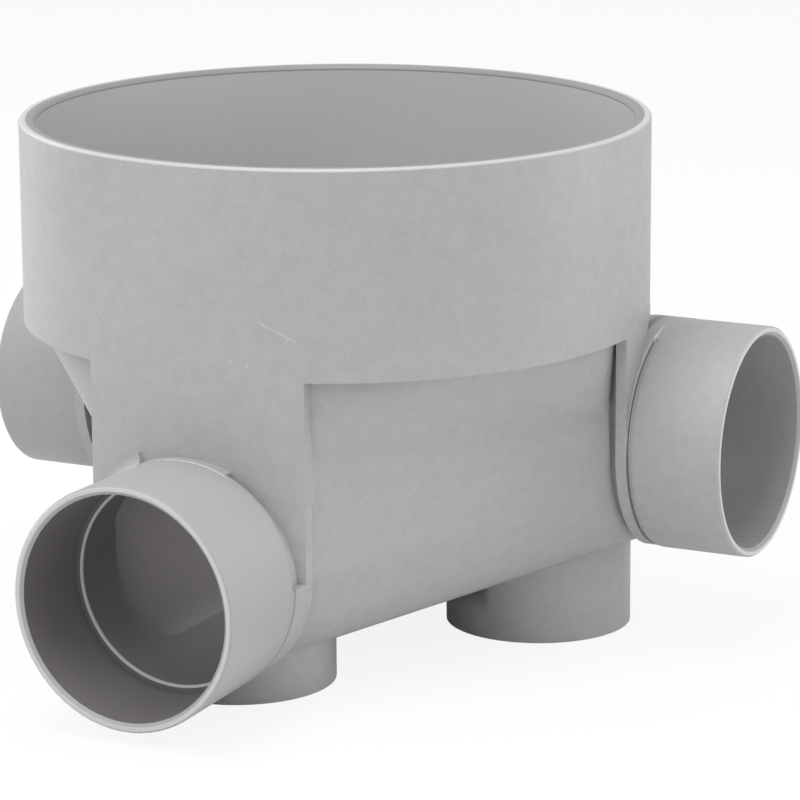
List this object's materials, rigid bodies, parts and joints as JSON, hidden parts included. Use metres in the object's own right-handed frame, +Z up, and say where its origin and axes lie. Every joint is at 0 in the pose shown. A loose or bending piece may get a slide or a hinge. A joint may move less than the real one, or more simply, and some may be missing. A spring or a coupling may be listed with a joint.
{
  "type": "drain inspection chamber",
  "caption": "Grey moulded drain inspection chamber with a wide riser socket, a low outlet socket, a side inlet socket, a side inlet spigot and tubular legs.",
  "frame": {"origin": "the riser's axis where it meets the stop that the riser pipe's end rests on", "axes": "+Z up along the riser towards its mouth, -Y along the outlet, +X along the inlet socket"},
  "size_m": [0.441, 0.4011, 0.2824],
  "materials": {
    "grey_pvc": "satin moulded grey PVC-U with light handling scuffs"
  },
  "bodies": {
    "root": {"chamber_body": "grey_pvc"}
  },
  "joints": []
}
